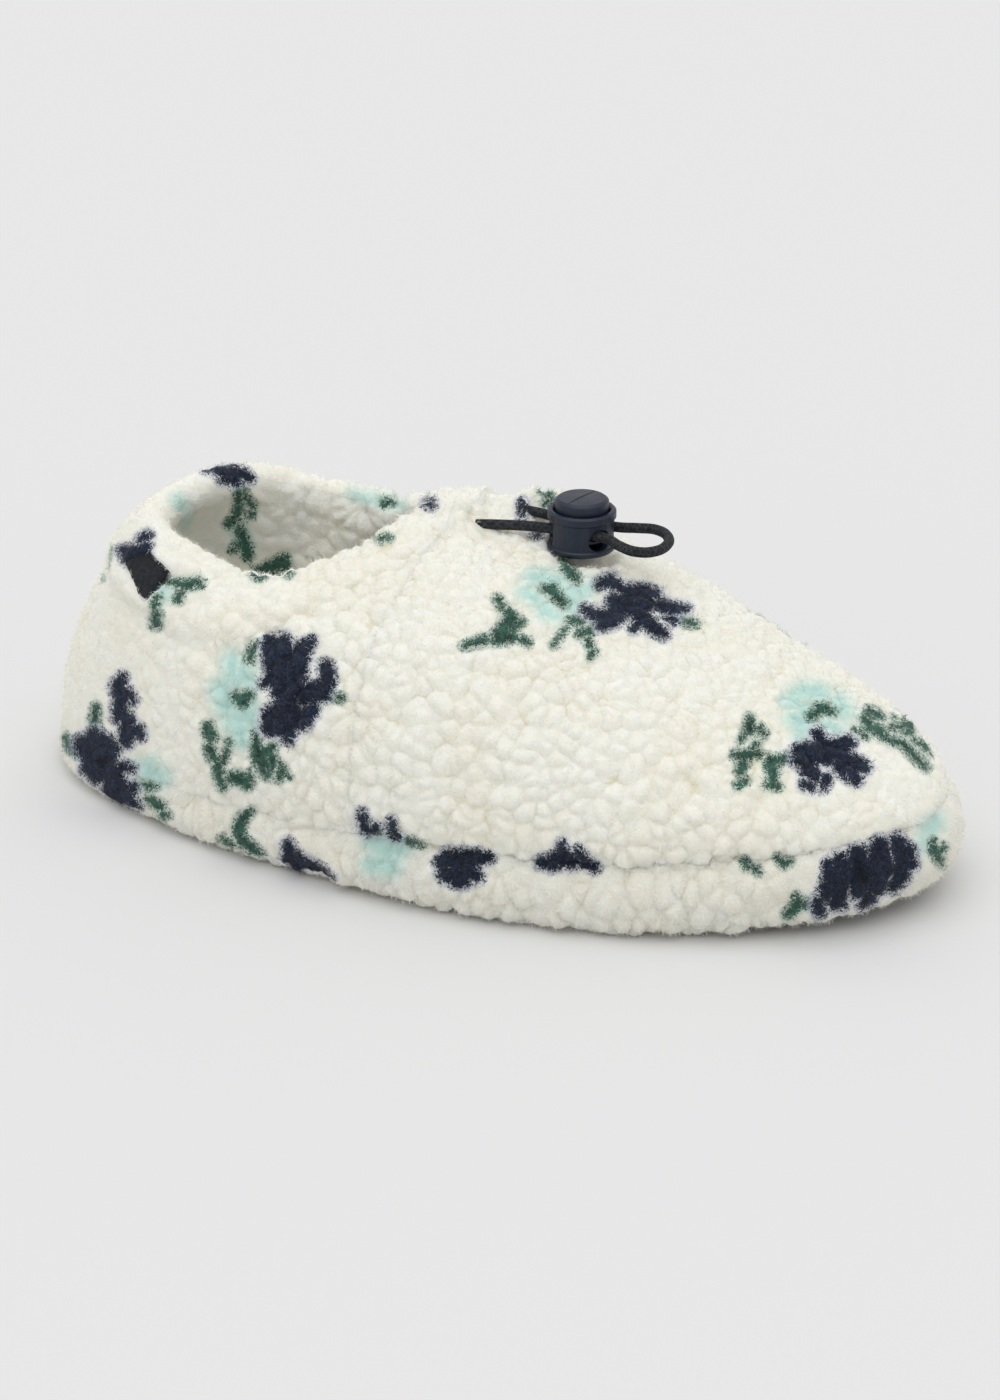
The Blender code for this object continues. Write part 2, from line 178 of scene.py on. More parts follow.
fleeceLook = {
    "cream": lin(248, 247, 239),
    "creamWarm": lin(246, 244, 233),
    "paintedCreviceShade": lin(236, 231, 212),  # painted shade deep between the tufts
    "between": lin(238, 235, 224),  # and painted shade between single fibres
    "mint": lin(190, 227, 221),
    "green": lin(48, 96, 82),
    "greenDark": lin(24, 58, 50),
    "greenPale": lin(176, 202, 190),  # half-dyed tips round the leaves
    "lavender": lin(204, 210, 222),  # and round the navy
    "navy": lin(38, 56, 90),
    "navyDark": lin(7, 12, 24),
    "eye": lin(12, 20, 21),
    "fibre": 1300,
    "fibreDepth": 0.65,
}


def edgeOf(tree, level):  # 1 half way up a dye's edge, 0 outside and well inside
    rest = maths(tree, "SUBTRACT", 1, level)
    return maths(tree, "MULTIPLY", maths(tree, "MULTIPLY", level, rest), 4)


def makeFleecePrintAndShade():  # flower print on the pile, frayed by its fibres, with painted shade in the crevices and between fibres
    group, given, put = newGroup(
        "fleecePrint",
        [("Place", "NodeSocketVector")],
        [("Color", "NodeSocketColor"), ("Fibres", "NodeSocketFloat")],
    )
    look, place = fleeceLook, given.outputs["Place"]
    fibres = noiseAt(group, place, look["fibre"], 3, 1.4)
    clumps = noiseAt(group, place, 520, 2, 0.8)
    slow = noiseAt(group, place, 60, 2)
    fray = maths(group, "ADD", maths(group, "MULTIPLY", fibres, 1.9), maths(group, "MULTIPLY", clumps, 0.7))
    fray = maths(group, "SUBTRACT", fray, 1.30)
    stray = group.nodes.new("ShaderNodeAttribute")  # only on the loose fibres
    stray.attribute_name = "stray"
    fray = maths(group, "ADD", fray, stray.outputs["Fac"])
    dyes = group.nodes.new("ShaderNodeAttribute")
    dyes.attribute_name = "print"
    split = group.nodes.new("ShaderNodeSeparateColor")
    group.links.new(dyes.outputs["Color"], split.inputs["Color"])
    navy, green = (
        maths(group, "ADD", level, maths(group, "MULTIPLY", fray, edgeOf(group, level)))
        for level in (split.outputs["Red"], split.outputs["Green"])
    )
    mint = maths(group, "ADD", split.outputs["Blue"], maths(group, "MULTIPLY", fray, 0.4))
    shade = mixColour(group, look["creamWarm"], look["cream"], ramp(group, slow, 0.35, 0.62))
    shade = mixColour(group, shade, look["mint"], ramp(group, mint, 0.05, 0.95, 0.90))
    leaf = mixColour(group, look["greenDark"], look["green"], ramp(group, clumps, 0.35, 0.60))
    shade = mixColour(group, shade, look["greenPale"], ramp(group, split.outputs["Green"], 0.05, 0.45, 0.55))
    shade = mixColour(group, shade, leaf, ramp(group, green, 0.25, 0.72, 0.96))
    shade = mixColour(group, shade, look["lavender"], ramp(group, split.outputs["Red"], 0.05, 0.42, 0.65))
    bloom = mixColour(group, look["navyDark"], look["navy"], ramp(group, fibres, 0.40, 0.74))
    shade = mixColour(group, shade, bloom, ramp(group, navy, 0.25, 0.68, 0.98))
    shade = mixColour(group, shade, look["eye"], ramp(group, dyes.outputs["Alpha"], 0.2, 1.0, 0.6))
    pile = group.nodes.new("ShaderNodeAttribute")
    pile.attribute_name = "pile"
    # painted shade: the colour darkens into the crevices where the pile is low
    paintedShade = mixColour(group, look["paintedCreviceShade"], (1.0, 1.0, 1.0), ramp(group, pile.outputs["Fac"], 0.0, 0.75))
    # painted shade between single fibres, where the fibre grain is low
    paintedShade = mixColour(group, paintedShade, look["between"], ramp(group, fibres, 0.60, 0.36, 0.22), "MULTIPLY")
    shade = mixColour(group, shade, paintedShade, 1.0, "MULTIPLY")
    group.links.new(shade, put.inputs["Color"])
    group.links.new(fray, put.inputs["Fibres"])
    return group


fleecePrint = makeFleecePrintAndShade()


def fleeceMaterial(name, glow, depth, paintedLightLevel=1.0):
    mat, nodes, links = newMaterial(name)
    bsdf = nodes["Principled BSDF"]
    bsdf.inputs["Roughness"].default_value = 0.95
    bsdf.inputs["Specular IOR Level"].default_value = 0.05
    bsdf.inputs["Sheen Weight"].default_value = 0.06
    bsdf.inputs["Sheen Roughness"].default_value = 0.6
    bsdf.inputs["Subsurface Weight"].default_value = glow
    bsdf.inputs["Subsurface Radius"].default_value = (1.0, 0.85, 0.65)
    bsdf.inputs["Subsurface Scale"].default_value = 0.0030
    place = nodes.new("ShaderNodeTexCoord")
    cloth = nodes.new("ShaderNodeGroup")
    cloth.node_tree = fleecePrint
    links.new(place.outputs["Object"], cloth.inputs["Place"])
    shade = cloth.outputs["Color"]
    # painted light and shade: the whole colour made lighter or darker for the light this copy gets
    if paintedLightLevel != 1:
        shade = mixColour(mat.node_tree, shade, (paintedLightLevel, paintedLightLevel, paintedLightLevel), 1.0, "MULTIPLY")
    links.new(shade, bsdf.inputs["Base Color"])
    if depth:
        bump = nodes.new("ShaderNodeBump")
        bump.inputs["Strength"].default_value = depth
        bump.inputs["Distance"].default_value = 0.0004
        links.new(cloth.outputs["Fibres"], bump.inputs["Height"])
        links.new(bump.outputs["Normal"], bsdf.inputs["Normal"])
    return mat


fleece = fleeceMaterial("fleece", 0.55, fleeceLook["fibreDepth"])
# lit and shaded copies of the fleece: the lining and footbed painted 5% lighter as painted light, the band
# 10% darker as painted shade
fleeceLining = fleeceMaterial("fleece_lining", 0.45, fleeceLook["fibreDepth"], 1.05)
fleeceBand = fleeceMaterial("fleece_band", 0.55, fleeceLook["fibreDepth"], 0.90)
fleeceFibre = fleeceMaterial("fleece_fibre", 0, 0)

# drawcord, from one side of the casing through the lock, round its loop and back
drawcord = {
    "diameter": 0.0028,
    "turns": 70,  # of the braid, end to end
    "exits": ((-0.00775, 0.00990, 0.08344), (-0.00867, 0.02723, 0.08309)),
    "run": (  # along, across and up from the middle of the lock's underside
        (-0.0160, -0.0055, 0.0056),
        (-0.0092, -0.0043, 0.0057),
        (0.0000, -0.0043, 0.0057),
        (0.0092, -0.0045, 0.0056),
        (0.0138, -0.0065, 0.0050),
        (0.0185, -0.0073, 0.0045),
        (0.0230, -0.0052, 0.0045),
        (0.0248, -0.0008, 0.0050),
        (0.0232, 0.0038, 0.0056),
        (0.0190, 0.0062, 0.0060),
        (0.0140, 0.0056, 0.0059),
        (0.0092, 0.0045, 0.0057),
        (0.0000, 0.0043, 0.0057),
        (-0.0092, 0.0043, 0.0057),
        (-0.0150, 0.0056, 0.0056),
    ),
}
lockLow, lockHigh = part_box("lock_body")
lockFoot = Vector(((lockLow.x + lockHigh.x) / 2, (lockLow.y + lockHigh.y) / 2, lockLow.z))
lockRadius = max(lockHigh.x - lockLow.x, lockHigh.y - lockLow.y) / 2


def crossed(tree, along, across):  # two sets of waves that cross, 0 to 1
    waves = []
    for kind in ("ADD", "SUBTRACT"):
        lean = maths(tree, kind, along, across)
        waves.append(maths(tree, "SINE", lean, 0))
    high = maths(tree, "MAXIMUM", waves[0], waves[1])
    return maths(tree, "ADD", maths(tree, "MULTIPLY", high, 0.5), 0.5)


def wovenMaterial(name, dark, pale, along, across, relief):  # threads laid along the piece's own UV map
    mat, nodes, links = newMaterial(name)
    tree, bsdf = mat.node_tree, nodes["Principled BSDF"]
    bsdf.inputs["Roughness"].default_value = 0.75
    bsdf.inputs["Specular IOR Level"].default_value = 0.2
    bsdf.inputs["Sheen Weight"].default_value = 0.05
    place, axes = nodes.new("ShaderNodeTexCoord"), nodes.new("ShaderNodeSeparateXYZ")
    links.new(place.outputs["UV"], axes.inputs["Vector"])
    run = maths(tree, "MULTIPLY", axes.outputs["X"], 2 * math.pi * along)
    turn = maths(tree, "MULTIPLY", axes.outputs["Y"], 2 * math.pi * across)
    threads = crossed(tree, run, turn)
    worn = noiseAt(tree, place.outputs["Object"], 900, 3)
    amount = maths(tree, "MULTIPLY", threads, ramp(tree, worn, 0.25, 0.7))
    links.new(mixColour(tree, dark, pale, amount), bsdf.inputs["Base Color"])
    bump = nodes.new("ShaderNodeBump")
    bump.inputs["Strength"].default_value = 0.6
    bump.inputs["Distance"].default_value = relief
    links.new(threads, bump.inputs["Height"])
    links.new(bump.outputs["Normal"], bsdf.inputs["Normal"])
    return mat


def braidMaterial():
    return wovenMaterial("braid", lin(24, 26, 30), lin(58, 60, 64), drawcord["turns"], 4, 0.0002)


def makeDrawcord():
    curve = bpy.data.curves.new("drawcord_braid", "CURVE")
    curve.dimensions = "3D"
    curve.bevel_depth = drawcord["diameter"] / 2
    curve.bevel_resolution = 6
    curve.resolution_u = 8
    curve.use_fill_caps = True
    route = [Vector(drawcord["exits"][0])]
    route += [lockFoot + Vector(p) for p in drawcord["run"]]
    route += [Vector(drawcord["exits"][1])]
    spline = curve.splines.new("BEZIER")
    spline.bezier_points.add(len(route) - 1)
    for point, place in zip(spline.bezier_points, route):
        point.co = place
        point.handle_left_type = point.handle_right_type = "AUTO"
    obj = bpy.data.objects.new("drawcord_braid", curve)
    bpy.context.scene.collection.objects.link(obj)
    curve.materials.append(braidMaterial())
    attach(obj, "slipper")
    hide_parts("drawcord")


makeDrawcord()

# cord lock, the CAD's own shapes in moulded plastic
lockLook = {"base": lin(19, 28, 45), "pale": lin(27, 37, 55), "roughness": (0.34, 0.46), "grain": 2200}


def makeLock():
    mat, nodes, links = newMaterial("moulded")
    tree, bsdf = mat.node_tree, nodes["Principled BSDF"]
    bsdf.inputs["Specular IOR Level"].default_value = 0.4
    place = nodes.new("ShaderNodeTexCoord")
    grain = noiseAt(tree, place.outputs["Object"], lockLook["grain"], 3)
    slow = noiseAt(tree, place.outputs["Object"], 220, 2)
    links.new(mixColour(tree, lockLook["base"], lockLook["pale"], ramp(tree, slow, 0.3, 0.7)),
              bsdf.inputs["Base Color"])
    least, most = lockLook["roughness"]
    rough = maths(tree, "ADD", ramp(tree, slow, 0.3, 0.7, most - least), least)
    links.new(rough, bsdf.inputs["Roughness"])
    bump = nodes.new("ShaderNodeBump")
    bump.inputs["Strength"].default_value = 0.12
    bump.inputs["Distance"].default_value = 0.00008
    links.new(grain, bump.inputs["Height"])
    links.new(bump.outputs["Normal"], bsdf.inputs["Normal"])
    for node in ("lock_body", "lock_button"):
        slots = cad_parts[node].material_slots
        for slot in slots:
            slot.material = mat
    print("lock finished")


makeLock()

# label, a bare woven tab sewn into the collar
labelTab = {"flat": (0.0115, 0.0147), "thick": 0.0005, "facing": Vector((-0.45, -0.85, 0.3)).normalized()}


def makeLabel():
    bm = cadCopy("label_tab")
    bm.normal_update()
    hidden = [f for f in bm.faces if f.normal.dot(labelTab["facing"]) < 0.6]
    bmesh.ops.delete(bm, geom=hidden, context="FACES")
    along = Vector((0, 0, 1)).cross(labelTab["facing"]).normalized()
    up = labelTab["facing"].cross(along)
    uv = bm.loops.layers.uv.new("UVMap")
    for face in bm.faces:
        for loop in face.loops:
            loop[uv].uv = (loop.vert.co.dot(along), loop.vert.co.dot(up))
    tab = newObject("label_tab_woven", bm)
    shadeSmooth(tab)
    body = tab.modifiers.new("thick", "SOLIDIFY")
    body.thickness = labelTab["thick"]
    body.offset = -1
    tab.data.materials.append(wovenMaterial("woven", lin(22, 24, 29), lin(44, 47, 53), 1100, 1100, 0.0001))
    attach(tab, "slipper")
    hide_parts("label_tab")
    print("label made")


makeLabel()

# outsole, a rubber sheet with grip dots
outsole = {
    "sheet": 0.0007,  # the dots stand this far below the sheet
    "inside": (0.985, 0.960),  # keeps its rim within the band
    "pitch": 0.0060,
    "dot": (0.0014, 0.0010),
    "edge": 0.0050,
    "sunk": 0.0004,  # and their tops this far into it
    "rowShare": 0.866,  # rows lie this much closer than the dots in a row
    "highest": 0.006,  # no dots where the sole rises further off the floor
    "sides": 8,
}


def makeOutsole():
    bm = cadCopy("outsole")
    under = BVHTree.FromBMesh(bm)
    bm.normal_update()
    for vert in bm.verts:
        vert.co.x *= outsole["inside"][0]
        vert.co.y *= outsole["inside"][1]
        if vert.normal.z < -0.2:
            vert.co.z += outsole["sheet"]
    low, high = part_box("outsole")
    wide, narrow = outsole["dot"]
    tall = outsole["sheet"] + outsole["sunk"]
    rowPitch = outsole["pitch"] * outsole["rowShare"]
    rows = int((high.y - low.y) / rowPitch)
    columns = int((high.x - low.x) / outsole["pitch"])
    for row in range(rows + 1):
        for column in range(columns + 1):
            x = low.x + (column + 0.5 * (row % 2)) * outsole["pitch"]
            y = low.y + row * rowPitch
            around = [(x, y)] + [(x + outsole["edge"] * a, y + outsole["edge"] * b)
                                 for a, b in ((1, 0), (-1, 0), (0, 1), (0, -1))]
            hits = [under.ray_cast(Vector((a, b, -0.01)), Vector((0, 0, 1)))[0] for a, b in around]
            if all(hit is not None and hit.z < outsole["highest"] for hit in hits):
                bmesh.ops.create_cone(
                    bm, cap_ends=True, segments=outsole["sides"], radius1=narrow, radius2=wide, depth=tall,
                    matrix=Matrix.Translation((x, y, hits[0].z + tall / 2)),
                )
    sole = newObject("outsole_grip", bm)
    mat, nodes, links = newMaterial("rubber")
    tree, bsdf = mat.node_tree, nodes["Principled BSDF"]
    bsdf.inputs["Roughness"].default_value = 0.8
    bsdf.inputs["Specular IOR Level"].default_value = 0.25
    place = nodes.new("ShaderNodeTexCoord")
    dusty = noiseAt(tree, place.outputs["Object"], 140, 4)
    links.new(mixColour(tree, lin(72, 73, 76), lin(92, 92, 94), ramp(tree, dusty, 0.35, 0.7)),
              bsdf.inputs["Base Color"])
    bump = nodes.new("ShaderNodeBump")
    bump.inputs["Strength"].default_value = 0.3
    bump.inputs["Distance"].default_value = 0.0002
    links.new(noiseAt(tree, place.outputs["Object"], 2600, 3), bump.inputs["Height"])
    links.new(bump.outputs["Normal"], bsdf.inputs["Normal"])
    sole.data.materials.append(mat)
    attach(sole, "slipper")
    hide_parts("outsole")
    print("outsole", len(sole.data.polygons), "faces")


makeOutsole()

# flower print: brush strokes charted, each point x, y and brush size in the photo's pixels
printChart = {
    "quarter": (
        ("mint", ((232, 662, 10), (236, 676, 12))),
        ("mint", ((222, 690, 11), (228, 704, 13))),
        ("mint", ((246, 708, 12), (252, 722, 9))),
        ("mint", ((236, 722, 13), (243, 740, 8))),
        ("mint", ((246, 672, 7), (248, 684, 8))),
        ("green", ((236, 697, 4), (242, 701, 6), (249, 695, 4))),
        ("green", ((257, 643, 2), (252, 650, 3), (250, 660, 3.5))),
        ("green", ((208, 727, 4.5), (211, 737, 5))),
        ("green", ((209, 748, 4.5), (213, 757, 4.5))),
        ("green", ((218, 764, 4), (219, 778, 4), (223, 788, 2))),
        ("green", ((229, 742, 1.5), (226, 756, 2.5), (222, 762, 3))),
        ("green", ((232, 778, 5.5), (240, 778, 6), (248, 785, 4))),
        ("green", ((248, 774, 2.5), (252, 782, 2.5))),
        ("green", ((256, 735, 3), (257, 748, 4.5), (258, 760, 5), (263, 770, 4), (267, 777, 2))),
        ("green", ((262, 752, 4.5), (265, 765, 4))),
        ("green", ((268, 752, 5), (274, 746, 3))),
        ("green", ((272, 758, 4.5), (273, 768, 3.5))),
        ("green", ((281, 771, 3.5), (279, 778, 3.5))),
        ("green", ((278, 762, 1.5), (284, 770, 2), (289, 777, 1.5))),
        ("green", ((332, 696, 3), (341, 698, 3))),
        ("navy", ((272, 646, 9), (276, 660, 12), (278, 676, 11), (285, 690, 12))),
        ("navy", ((284, 641, 6), (284, 655, 9))),
        ("navy", ((311, 642, 4), (302, 650, 8), (296, 664, 11), (292, 680, 12))),
        ("navy", ((326, 667, 6), (328, 680, 7), (321, 692, 9), (306, 694, 11))),
        ("navy", ((265, 684, 3.5), (270, 679, 5))),
        ("navy", ((272, 718, 10), (278, 714, 11), (288, 706, 12))),
        ("navy", ((268, 727, 6), (282, 728, 8), (290, 734, 5))),
        ("navy", ((311, 711, 7), (302, 719, 10), (292, 718, 12))),
        ("navy", ((286, 740, 2.5), (291, 741, 2))),
        ("eye", ((300, 694, 6), (302, 703, 6))),
    ),
    "heel": (
        ("mint", ((148, 772, 9), (160, 776, 9))),
        ("mint", ((138, 766, 5), (152, 763, 5))),
        ("green", ((96, 708, 3.5), (95, 718, 4), (97, 728, 3))),
        ("green", ((66, 738, 3), (69, 746, 3.5), (77, 754, 2.5))),
        ("green", ((140, 784, 2), (148, 786, 2.5), (156, 787, 1.5))),
        ("green", ((147, 797, 2.5), (154, 803, 4), (160, 806, 4.5))),
        ("green", ((163, 815, 2.5), (168, 815, 2))),
        ("navy", ((122, 678, 4), (118, 686, 6), (122, 697, 7), (120, 711, 7), (118, 719, 4))),
        ("navy", ((127, 692, 4), (134, 701, 2))),
        ("navy", ((127, 717, 5), (128, 730, 8), (126, 741, 6))),
        ("navy", ((138, 729, 4), (141, 736, 3))),
        ("navy", ((82, 743, 7), (90, 749, 13), (98, 758, 15))),
        ("navy", ((95, 737, 8), (104, 746, 11))),
        ("navy", ((113, 749, 7), (104, 760, 12))),
        ("navy", ((90, 768, 8), (98, 772, 11))),
        ("navy", ((112, 772, 9), (116, 789, 13), (126, 796, 8))),
        ("navy", ((123, 767, 5), (132, 768, 3))),
        ("navy", ((131, 787, 4), (135, 791, 3))),
        ("navy", ((133, 803, 4), (137, 807, 3))),
        ("eye", ((102, 760, 7),)),
    ),
    "bandSide": (
        ("green", (
            (251, 811, 2.5), (243, 818, 4.5), (239, 828, 5),
            (241, 838, 4.5), (250, 846, 4.5), (262, 856, 2.5),
        )),
        ("green", ((222, 838, 2), (232, 845, 2.5))),
        ("mint", ((371, 842, 8), (385, 848, 12), (400, 850, 9))),
        ("mint", ((372, 864, 9), (390, 865, 11))),
        ("green", ((405, 838, 1.5), (414, 842, 2.5), (422, 845, 1.5))),
        ("navy", ((288, 844, 4), (291, 853, 6), (286, 861, 4))),
        ("navy", ((296, 861, 8), (308, 868, 8), (320, 874, 7), (329, 878, 3))),
        ("navy", ((362, 813, 2.5), (364, 822, 4), (367, 829, 4.5), (376, 829, 4))),
        ("navy", ((391, 820, 2), (392, 830, 3), (397, 836, 2.5))),
        ("navy", ((442, 863, 6), (450, 859, 9), (462, 860, 10), (478, 858, 7), (490, 858, 3.5))),
        ("navy", ((446, 874, 7), (456, 877, 9), (463, 880, 7))),
        ("navy", ((469, 870, 8), (478, 877, 4))),
        ("navy", ((542, 862, 5), (552, 862, 8), (562, 857, 8), (573, 861, 7))),
        ("navy", ((562, 845, 3.5), (562, 855, 6))),
        ("navy", ((578, 851, 3), (585, 862, 5), (595, 868, 3.5))),
    ),
    "vamp": (
        ("mint", ((534, 578, 8), (548, 580, 9), (561, 582, 7))),
        ("mint", ((525, 593, 6), (536, 598, 8))),
        ("mint", ((568, 592, 8), (585, 592, 7), (592, 585, 5))),
        ("mint", ((546, 610, 8), (556, 616, 5))),
        ("mint", ((569, 606, 7), (578, 602, 6))),
        ("green", ((498, 600, 3.5), (502, 607, 3.5))),
        ("green", ((508, 612, 3.5), (512, 618, 4.5), (505, 628, 7), (498, 636, 6))),
        ("green", ((521, 622, 3), (512, 629, 4.5))),
        ("green", ((511, 637, 5), (496, 641, 3.5))),
        ("green", ((523, 640, 3.5), (528, 643, 2.5))),
        ("green", ((484, 640, 3.5), (475, 643, 3.5), (464, 646, 2.5))),
        ("green", ((544, 588, 2.5), (552, 590, 4.5), (558, 598, 4.5), (564, 604, 3.5))),
        ("green", ((564, 562, 2.5), (568, 570, 4), (574, 576, 4), (577, 581, 2))),
        ("green", ((571, 621, 3.5), (580, 621, 3.5))),
        ("green", ((580, 634, 3.5), (590, 631, 4), (598, 628, 2.5))),
        ("green", ((587, 640, 3), (590, 645, 3))),
        ("green", ((593, 652, 3), (590, 656, 2))),
        ("green", ((566, 628, 1.2), (560, 636, 1.5), (554, 645, 2))),
        ("green", ((676, 618, 2.5), (685, 622, 3.5), (695, 624, 2.5))),
        ("navy", ((600, 584, 4.5), (610, 581, 5.5), (621, 588, 4.5))),
        ("navy", ((628, 592, 6), (645, 591, 5.5), (657, 594, 3))),
        ("navy", ((614, 602, 7), (630, 604, 11), (646, 604, 9))),
        ("navy", ((660, 606, 6.5), (675, 609, 4.5), (687, 608, 2))),
        ("navy", ((585, 610, 3.5), (595, 614, 4.5), (606, 619, 7), (618, 613, 9))),
        ("navy", ((602, 626, 4), (612, 622, 6))),
        ("navy", ((640, 616, 8), (652, 626, 6.5), (663, 634, 4.5))),
        ("navy", ((634, 628, 3.5), (640, 622, 5))),
        ("navy", ((668, 618, 2.5), (674, 620, 2.5))),
        ("eye", ((627, 605, 4),)),
    ),
    "toe": (
        ("mint", ((790, 700, 8), (805, 692, 9), (822, 694, 9))),
        ("mint", ((796, 719, 9), (806, 726, 9))),
        ("mint", ((838, 700, 7), (845, 712, 8))),
        ("mint", ((826, 724, 7), (838, 730, 5))),
        ("mint", ((803, 709, 9), (800, 738, 5))),
        ("green", ((811, 716, 4), (817, 712, 4))),
        ("green", ((817, 707, 3), (824, 708, 4), (833, 712, 2.5))),
        ("green", ((749, 719, 3.5), (750, 730, 4.5))),
        ("green", ((760, 728, 2.5), (763, 734, 3.5))),
        ("green", ((741, 739, 2), (745, 733, 3))),
        ("green", ((757, 744, 2), (752, 750, 2.5))),
        ("green", ((736, 755, 4), (750, 755, 4.5), (760, 754, 2.5))),
        ("green", ((770, 760, 5), (772, 770, 6), (773, 778, 4))),
        ("green", ((787, 758, 4), (778, 760, 5))),
        ("green", ((769, 784, 3.5), (778, 787, 2.5))),
        ("green", ((743, 763, 4), (740, 772, 3.5))),
        ("green", ((746, 781, 2.5), (738, 785, 2.5))),
        ("green", ((868, 710, 2.5), (876, 714, 3.5), (882, 718, 2))),
        ("green", ((865, 719, 4), (870, 728, 4.5), (879, 731, 5.5))),
        ("green", ((883, 736, 3.5), (889, 740, 2.5))),
        ("green", ((867, 736, 2.5), (855, 731, 1.5))),
        ("green", ((895, 716, 1.5), (902, 714, 3), (909, 721, 2.5))),
        ("green", ((904, 724, 3.5), (912, 728, 3.5), (908, 732, 3))),
        ("green", ((891, 727, 2), (900, 727, 2.5))),
        ("green", ((892, 740, 2.5), (903, 744, 3.5), (910, 752, 3.5), (918, 760, 3.5), (926, 768, 2.5))),
        ("green", ((914, 740, 1.5), (924, 746, 3), (932, 752, 2.5))),
        ("navy", ((817, 733, 4), (821, 742, 6))),
        ("navy", ((800, 752, 7), (812, 752, 9), (825, 754, 11), (838, 748, 10), (848, 744, 6))),
        ("navy", ((796, 761, 4), (806, 760, 7))),
        ("navy", ((808, 768, 8), (815, 776, 6))),
        ("navy", ((805, 784, 4), (812, 788, 2.5))),
        ("navy", ((826, 779, 4.5), (824, 788, 3))),
        ("navy", ((845, 764, 12), (858, 765, 7), (865, 768, 4))),
        ("navy", ((851, 776, 6), (857, 780, 4))),
        ("eye", ((827, 758, 4),)),
    ),
    "toeBand": (
        ("mint", ((929, 829, 8), (936, 822, 7))),
        ("mint", ((924, 840, 5), (921, 848, 4))),
        ("green", ((744, 861, 2.5), (747, 866, 3.5))),
        ("green", ((756, 869, 3), (758, 872, 2))),
        ("green", ((777, 857, 1.5), (784, 864, 3.5), (789, 862, 2.5))),
        ("green", ((797, 897, 3), (798, 904, 4.5), (791, 911, 4), (786, 914, 2.5))),
        ("green", ((808, 904, 4), (800, 903, 4))),
        ("green", ((933, 842, 2.5), (934, 850, 4.5), (938, 857, 4), (940, 864, 1.5))),
        ("green", ((944, 846, 1.5), (940, 851, 3))),
        ("navy", ((829, 865, 5), (830, 880, 7), (826, 896, 7))),
        ("navy", ((840, 862, 8), (842, 880, 10), (838, 896, 8))),
        ("navy", ((858, 855, 9), (860, 875, 13), (858, 889, 9))),
        ("navy", ((880, 847, 9), (880, 868, 14), (876, 885, 10))),
        ("navy", ((897, 842, 7), (902, 858, 9), (900, 876, 8), (892, 887, 5))),
        ("navy", ((909, 848, 4), (912, 864, 4.5))),
        ("navy", ((818, 902, 5), (819, 912, 4.5))),
        ("navy", ((835, 904, 5), (843, 905, 3))),
        ("navy", ((868, 898, 7), (862, 906, 3.5))),
        ("eye", ((858, 862, 6), (862, 876, 9))),
    ),
    "collar": (
        ("mint", ((165, 590, 6), (160, 599, 4))),
        ("mint", ((352, 494, 3), (365, 498, 4), (378, 500, 4), (400, 505, 3))),
        ("green", ((386, 503, 3), (392, 502, 2.5))),
        ("green", ((109, 546, 1.2), (107, 555, 1.6), (104, 566, 2), (100, 578, 1.4))),
        ("green", ((166, 581, 1.5), (176, 583, 2.5), (187, 585, 4), (197, 582, 4), (201, 584, 2.5))),
        ("green", ((181, 592, 2.5), (178, 600, 2.5))),
        ("green", ((157, 597, 2.5), (155, 606, 2.5))),
        ("green", ((157, 615, 4), (156, 624, 4.5))),
        ("green", ((380, 540, 1.5), (384, 537, 2), (390, 538, 1.5))),
        ("green", ((543, 491, 2.5), (550, 496, 2))),
        ("green", ((546, 503, 3), (551, 504, 2))),
        ("navy", (
            (205, 468, 2.5), (214, 469, 3.5), (224, 472, 5), (234, 472, 6), (242, 474, 5), (250, 479, 2.5),
        )),
        ("navy", ((221, 479, 2.5), (236, 480, 4))),
        ("navy", ((142, 539, 3.5), (148, 536, 3.5))),
        ("navy", ((124, 551, 4.5), (132, 553, 6.5), (142, 552, 7), (146, 546, 4.5))),
        ("navy", ((127, 559, 4), (134, 562, 4))),
        ("navy", ((426, 504, 2), (432, 505, 2.5))),
        ("navy", ((522, 503, 2.5), (524, 510, 3), (522, 516, 2.5))),
        ("navy", ((535, 535, 1.5), (540, 532, 2))),
    ),
    "lining": (
        ("mint", ((178, 500, 5), (183, 512, 6), (184, 524, 4))),
        ("mint", ((240, 532, 7), (246, 546, 7))),
        ("green", ((237, 486, 2.5), (239, 498, 3.5), (238, 508, 3.5), (235, 518, 3.5), (228, 524, 3))),
        ("green", ((244, 488, 1.5), (247, 498, 2.5), (252, 506, 3), (251, 516, 2.5))),
        ("green", ((240, 530, 4), (246, 545, 4), (248, 556, 4))),
        ("green", ((232, 551, 2), (237, 545, 2.5))),
        ("green", ((258, 574, 6), (270, 568, 6), (284, 560, 5), (288, 572, 4))),
    ),
}

# the same sprigs on the sides that the photo doesn't show: middle in the chart, place, seen from, turn, size
hiddenPrint = (
    ("quarter", (265, 705), (0.070, 0.050, 0.043), (0, 1, 0), 25, 0.95),
    ("toe", (825, 745), (-0.020, 0.050, 0.050), (0, 1, 0), -20, 1.0),
    ("quarter", (265, 705), (-0.085, 0.045, 0.044), (0, 1, 0), 160, 0.9),
    ("heel", (105, 750), (-0.122, 0.018, 0.048), (-1, 0.4, 0), 15, 0.75),
    ("vamp", (590, 605), (0.028, 0.048, 0.046), (0, 1, 0.4), 70, 0.7),
    ("toeBand", (865, 870), (0.035, 0.054, 0.012), (0, 1, 0), 0, 0.55),
    ("toe", (825, 745), (-0.050, 0.050, 0.013), (0, 1, 0), 170, 0.45),
    ("toe", (825, 745), (-0.124, 0.026, 0.014), (-0.8, 0.6, 0), 10, 0.42),
    ("toe", (825, 745), (0.100, 0.045, 0.014), (0.6, 0.8, 0), 20, 0.42),
)

